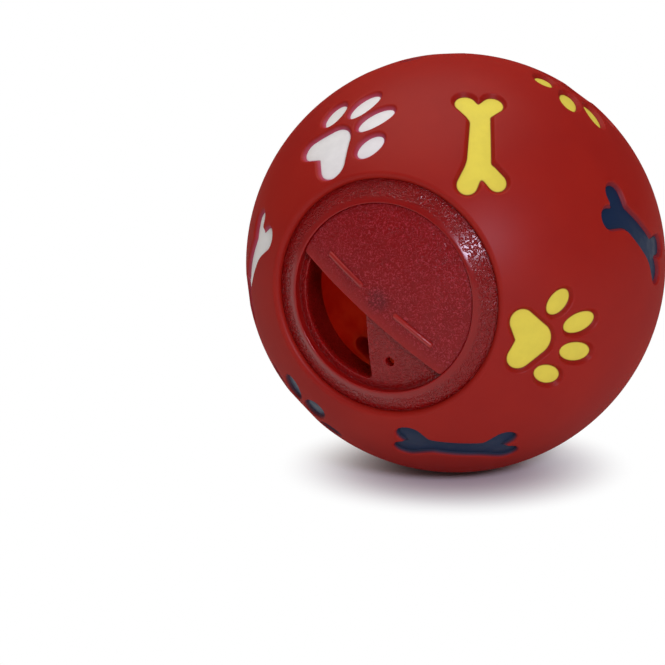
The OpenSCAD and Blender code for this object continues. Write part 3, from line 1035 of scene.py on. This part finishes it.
def flange_section():
    """Section of the flange from its rim outwards, from the slopes given for it."""
    radii, slopes = zip(*FLANGE_SLOPE)
    r = np.linspace(radii[0], radii[-1], num=22)
    slope = np.tan(np.radians(np.interp(r, radii, slopes)))
    fall = np.concatenate([[0.0], np.cumsum((slope[1:] + slope[:-1]) / 2 * np.diff(r))])
    return list(zip(r.tolist(), (RIM_H - fall).tolist()))


def collar_piece():
    """The closure's ring with its flange, bead and skirt, and the floor with its holes."""
    floor_h = dome_h(FLOOR_DOME, WELL_R)
    flange = flange_section()
    last_slope = FLANGE_SLOPE[-1][1]
    rim_c = (WELL_R + RIM_ROUND, flange[0][1] - RIM_ROUND)
    edge_c = (FLANGE_R - FLANGE_ROUND,
              flange[-1][1] - FLANGE_ROUND * math.cos(math.radians(last_slope)))
    section = [(FLOOR_RING_R, dome_h(FLOOR_DOME, FLOOR_RING_R))]
    section += [(WELL_R - inward, floor_h + rise) for inward, rise in WELL_FILLET]
    section += arc(rim_c, RIM_ROUND, 180, 95, count=8) + flange
    section += arc(edge_c, FLANGE_ROUND, 90 - last_slope, 0, count=8)[1:]
    bead_high = GRIP_LOW - BEAD_GAP
    section += [(FLANGE_R, SEAT_H), (NECK_R, SEAT_H), (NECK_R, bead_high)]
    section += [(r, bead_high - fall) for r, fall in zip((BEAD_R, BEAD_R, SKIRT_OUT), BEAD_FALLS)]
    section += [(SKIRT_OUT, SKIRT_LOW + SKIRT_CHAMFER), (SKIRT_OUT - SKIRT_CHAMFER, SKIRT_LOW)]
    section += [(SKIRT_R + out, SKIRT_LOW + rise) for out, rise in SKIRT_LIP]
    under_r = SKIRT_R - UNDER_CHAMFER
    section += [(SKIRT_R, dome_h(UNDER_DOME, SKIRT_R) - UNDER_CHAMFER)]
    section += [(under_r, dome_h(UNDER_DOME, under_r))]
    collar = Shell()
    points, faces = revolve(section)
    collar.add(out_of_mouth(points), faces)
    top, top_faces, top_rims = floor_sheet(FLOOR_RING_R, EDGE_STEPS, FLOOR_DOME, 1)
    low, low_faces, low_rims = floor_sheet(under_r, EDGE_STEPS[:1], UNDER_DOME, -1)
    start_top = collar.add(out_of_mouth(top), top_faces)
    start_low = collar.add(out_of_mouth(low), low_faces)
    for high_rim, low_rim in zip(top_rims, low_rims):
        collar.wall(high_rim + start_top, low_rim + start_low)
    return collar.build("closure_collar", [collar_plastic], sharp=50)


def turn_dial(points):
    """From the dial's own directions to the mouth's, and out to the part's frame."""
    x, y, h = np.asarray(points, float).T
    c, s = math.cos(math.radians(DIAL_CLOCK)), math.sin(math.radians(DIAL_CLOCK))
    return out_of_mouth(np.column_stack([x * c - y * s, x * s + y * c, h]))


def dial_piece():
    """The domed disc with its mark, and the split stud under it."""
    dial, plan, reach, margin = Shell(), Plan(), 17.0, 0.6
    rim, *_ = [plan.loop(points) for inward in EDGE_STEPS
               for points in trace(dial_field, -inward, (reach, reach))]
    for r in MARK_RINGS:
        plan.loop(respace(ring_points(r, steps=48), spacing=0.35))
    grid = hex_points(reach, spacing=0.75)
    free = (dial_field(*grid.T) < -margin) & (np.hypot(*grid.T) > MARK_RINGS[-1] + OUTLINE_STEP)
    seeds = plan.scatter(grid[free])
    flat, faces = plan.all_points(), plan.fill([rim], seeds)
    r = np.hypot(*flat.T)
    mark = MARK_DEPTH * np.clip(1 - (r / MARK_R) ** 2, 0, 1) ** 2
    height = dome_h(FACE_DOME, r) - edge_drop(-dial_field(*flat.T)) - mark
    start = dial.add(turn_dial(np.column_stack([flat, height])), faces)
    under = Plan()
    under_rim = under.loop(flat[rim])
    grid = hex_points(reach, spacing=1.2)
    seeds = under.scatter(grid[dial_field(*grid.T) < -margin])
    under_flat = under.all_points()
    under_points = np.column_stack([under_flat, dome_h(BACK_DOME, np.hypot(*under_flat.T))])
    start_under = dial.add(turn_dial(under_points), under.fill([under_rim], seeds)[:, ::-1])
    dial.wall(under_rim + start_under, rim + start)
    head_high = dome_h(UNDER_DOME, HEAD_R) - HEAD_GAP
    stud = ((PIVOT_R - HEAD_TAPER, head_high - HEAD_H), (HEAD_R, head_high - HEAD_TAPER),
            (HEAD_R, head_high), (PIVOT_R, head_high), (PIVOT_R, DOME_C + BACK_DOME + STUD_SINK))
    n = STUD_STEPS
    for side in (1, -1):
        rings = []
        for r, h in stud:
            half = math.acos(SPLIT_W / 2 / r)
            t = np.linspace(-half, half, n)
            rings.append(np.stack([side * r * np.cos(t), side * r * np.sin(t), np.full(n, h)], -1))
        walls = [(k + i, k + (i + 1) % n, k + n + (i + 1) % n, k + n + i)
                 for k in range(0, n * len(stud) - n, n) for i in range(n)]
        caps = [tuple(range(n - 1, -1, -1)), tuple(range(n * len(stud) - n, n * len(stud)))]
        dial.add(turn_dial(np.vstack(rings)), walls + caps)
    return dial.build("closure_dial", [dial_plastic], sharp=50)


def place_piece(piece, body, slot, *nodes):
    """Puts a finished piece on its body, in place of its nodes."""
    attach(piece, body)
    if nodes:
        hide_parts(*nodes)


place_piece(ball_piece(), "ball", "soft_vinyl", "ball_shell")
place_piece(collar_piece(), "ball", "closure_plastic", "mouth_collar")
place_piece(dial_piece(), "dial", "dial_plastic", "dial")
ribs = grown("dial_ribs", bpy.data.meshes.new("rib_start"), rib_tree(), From=RIB_FROM * MM,
             To=RIB_TO * MM, Radius=RIB_R * MM, Dome=(FACE_DOME - RIB_SINK) * MM,
             Dome_Centre=DOME_C * MM, Clock=math.radians(DIAL_CLOCK), Material=rib_plastic)
place_piece(ribs, "dial", "dial_plastic")
STAMPS = {kind: stamp_mesh(kind) for kind in FIELDS}
STAMP_TREE = stamp_tree()
for name, (kind, polar, clock, turn) in FIGURES.items():
    coat = grown("coat_" + name, STAMPS[kind], STAMP_TREE, Turn=math.radians(turn),
                 Polar=math.radians(polar), Clock=math.radians(clock), Material=paints[paint_of(name)])
    place_piece(coat, "ball", "paint_" + paint_of(name), name)


# Stage: pale floor, soft light and the camera. Places and sizes are metres, but for the floor's gap
FLOOR_SIZE = 12.0
FLOOR_GAP = 0.05
# Distance from the ball's centre over which the floor turns plain white
SHADOW_FADE = (0.038, 0.05)
WORLD_STRENGTH = 0.23
# The key lamp's place is to the right of, above and before the ball, as the camera sees it
KEY_AT, KEY_SIZE, KEY_POWER, KEY_COLOUR = (0.205, 0.165, 0.75), 0.15, 2.9, (0.82, 0.77, 1.0)
TOP_AT, TOP_SIZE, TOP_POWER, TOP_COLOUR = (-0.14, 0.04, 0.74), 1.0, 4.4, (1.0, 0.97, 0.92)


def seen_directly(nodes):
    """1 for rays from the camera, in reflections and through clear things."""
    path = nodes.new("ShaderNodeLightPath")
    either = worked(nodes, "MAXIMUM", path.outputs["Is Camera Ray"], path.outputs["Is Glossy Ray"])
    return worked(nodes, "MAXIMUM", either, path.outputs["Is Transmission Ray"])


def floor_piece():
    """A wide pale floor, plain white farther from the ball, and with its shadow near it."""
    mesh = bpy.data.meshes.new("floor")
    half, low = FLOOR_SIZE / 2, -(BALL_R + FLOOR_GAP) * MM
    corners = [(x * half, y * half, low) for x, y in ((-1, -1), (1, -1), (1, 1), (-1, 1))]
    mesh.from_pydata(corners, [], [(0, 1, 2, 3)])
    material, nodes, shader = new_material("pale_floor")
    set_values(shader, Base_Color=(0.9, 0.9, 0.9, 1.0), Roughness=0.9, Specular_IOR_Level=0.0)
    far = ramp(nodes, length_of(nodes, part_place(nodes)), *SHADOW_FADE)
    both = made(nodes, "ShaderNodeMixShader", Fac=worked(nodes, "MULTIPLY", far, seen_directly(nodes)))
    feed(both.inputs[1], shader.outputs["BSDF"])
    feed(both.inputs[2], nodes.new("ShaderNodeEmission").outputs["Emission"])
    set_values(nodes["Material Output"], Surface=both.outputs["Shader"])
    mesh.materials.append(material)
    put("floor", mesh)


def world_light(strength):
    """Even pale light from all round."""
    world = bpy.data.worlds.new("studio")
    world.use_nodes = True
    set_values(world.node_tree.nodes["Background"], Color=(1.0, 1.0, 1.0, 1.0), Strength=strength)
    bpy.context.scene.world = world


def area_light(name, place, size, power, colour):
    """A soft round lamp aimed at the ball."""
    data = bpy.data.lights.new(name, "AREA")
    data.shape = "DISK"
    data.size, data.energy, data.color = size, power, colour
    lamp = put(name, data)
    lamp.location = place
    lamp.rotation_euler = (-Vector(place)).to_track_quat("-Z", "Y").to_euler()


# The camera stands where the photograph was taken from
VIEW_AZIMUTH, VIEW_ELEVATION, VIEW_DISTANCE = math.radians(22.1), math.radians(11.33), 0.45
FOCAL_PX, FRAME_PX = 2504.0, 665.0
BALL_AT_PX = (455.0, 263.2)
view_right = Vector((math.cos(VIEW_AZIMUTH), math.sin(VIEW_AZIMUTH), 0.0))
view_back = Vector((math.sin(VIEW_AZIMUTH) * math.cos(VIEW_ELEVATION),
                    -math.cos(VIEW_AZIMUTH) * math.cos(VIEW_ELEVATION), math.sin(VIEW_ELEVATION)))
view_up = view_back.cross(view_right)


def photo_camera():
    """A long lens, aimed so that the ball stands in the frame as in the photograph."""
    data = bpy.data.cameras.new("camera")
    data.sensor_width = 36.0
    data.lens = FOCAL_PX / FRAME_PX * data.sensor_width
    camera = put("camera", data)
    aside = (BALL_AT_PX[0] - FRAME_PX / 2) / FOCAL_PX
    above = (FRAME_PX / 2 - BALL_AT_PX[1]) / FOCAL_PX
    aim = -view_back - aside * view_right - above * view_up
    camera.location = view_back * VIEW_DISTANCE
    level = Matrix((view_right, view_up, view_back)).transposed()
    camera.rotation_euler = ((-view_back).rotation_difference(aim).to_matrix() @ level).to_euler()
    bpy.context.scene.camera = camera


def from_view(right, up, back):
    """A place given as the camera sees it."""
    return view_right * right + view_up * up + view_back * back


floor_piece()
world_light(WORLD_STRENGTH)
area_light("key", from_view(*KEY_AT), KEY_SIZE, KEY_POWER, KEY_COLOUR)
area_light("top", TOP_AT, TOP_SIZE, TOP_POWER, TOP_COLOUR)
photo_camera()

bpy.context.scene.view_settings.view_transform = "Standard"
